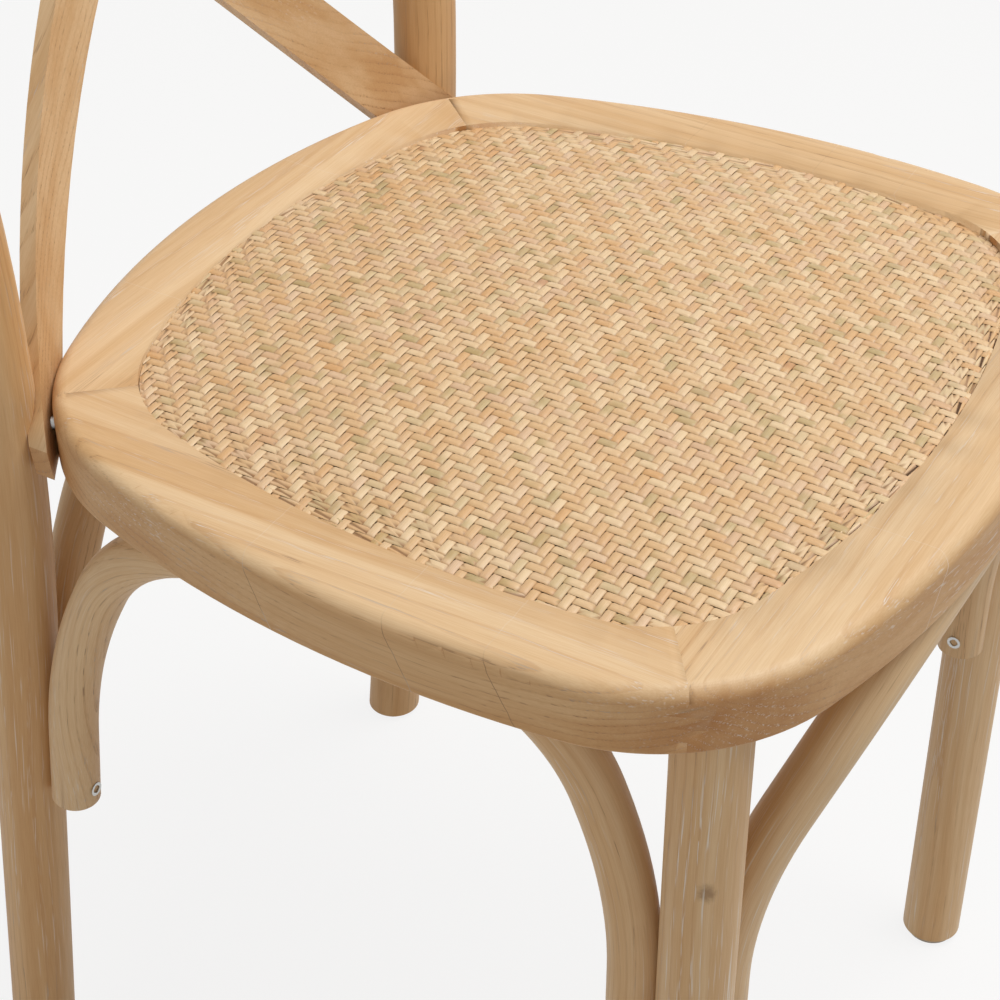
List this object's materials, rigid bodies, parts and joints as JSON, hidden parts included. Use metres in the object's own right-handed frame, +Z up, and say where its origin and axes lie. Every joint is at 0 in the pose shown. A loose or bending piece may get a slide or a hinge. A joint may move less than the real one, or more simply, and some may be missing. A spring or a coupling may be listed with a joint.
{
  "type": "cross back dining chair",
  "caption": "Wooden dining chair with a bent hoop back, two crossed slats, a rounded seat ring holding a woven rattan mat, round legs and arched braces under the seat.",
  "frame": {"origin": "floor level, at the middle of the chair's outline seen from above", "axes": "+Z up, -Y the direction the sitter faces, +X to the sitter's left"},
  "size_m": [0.4274, 0.4861, 0.8844],
  "materials": {
    "ash_wood": "pale ash with a limed, matt clear finish",
    "plywood": "bare birch plywood",
    "rattan": "natural woven rattan peel, satin",
    "zinc_steel": "zinc plated steel",
    "nylon": "moulded nylon"
  },
  "bodies": {
    "root": {"seat_rail_front": "ash_wood", "seat_rail_back": "ash_wood", "seat_rail_left": "ash_wood", "seat_rail_right": "ash_wood", "seat_panel_board": "plywood", "rattan_mat": "rattan", "front_leg_left": "ash_wood", "front_leg_right": "ash_wood", "rear_post_left": "ash_wood", "rear_post_right": "ash_wood", "crest_hoop": "ash_wood", "back_slat_front": "ash_wood", "back_slat_rear": "ash_wood", "arch_front": "ash_wood", "arch_rear": "ash_wood", "arch_left": "ash_wood", "arch_right": "ash_wood", "bolt_plugs": "ash_wood", "post_bolts": "zinc_steel", "glide_front_left": "nylon", "glide_front_right": "nylon", "glide_rear_left": "nylon", "glide_rear_right": "nylon"}
  },
  "joints": []
}
